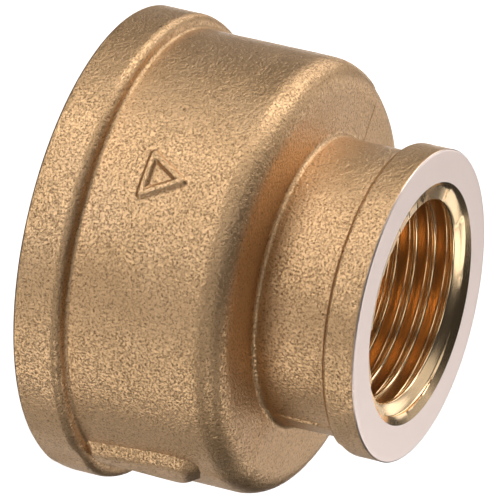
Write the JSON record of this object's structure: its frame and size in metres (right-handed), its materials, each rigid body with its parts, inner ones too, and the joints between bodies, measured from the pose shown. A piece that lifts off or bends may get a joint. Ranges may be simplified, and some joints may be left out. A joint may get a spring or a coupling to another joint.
{
  "type": "reducing coupling",
  "caption": "Straight cast pipe coupling that joins two parallel-threaded pipes of different sizes, with a banded socket at each end and a grip rib on the barrel.",
  "frame": {"origin": "centre of the machined face of the large end", "axes": "+Z along the bore's axis towards the small end, +X towards the grip rib on the mould's parting plane, -Y towards the cast mark"},
  "size_m": [0.042, 0.042, 0.03],
  "materials": {
    "cast_gunmetal": "as cast and shot blasted, fine grain",
    "machined_gunmetal": "turned and threaded, bright"
  },
  "bodies": {
    "root": {"large_end_band": "cast_gunmetal", "large_barrel": "cast_gunmetal", "reducing_shoulder": "cast_gunmetal", "small_neck": "cast_gunmetal", "small_end_band": "cast_gunmetal", "grip_rib": "cast_gunmetal", "cast_mark": "cast_gunmetal", "large_thread": "machined_gunmetal", "small_thread": "machined_gunmetal"}
  },
  "joints": []
}
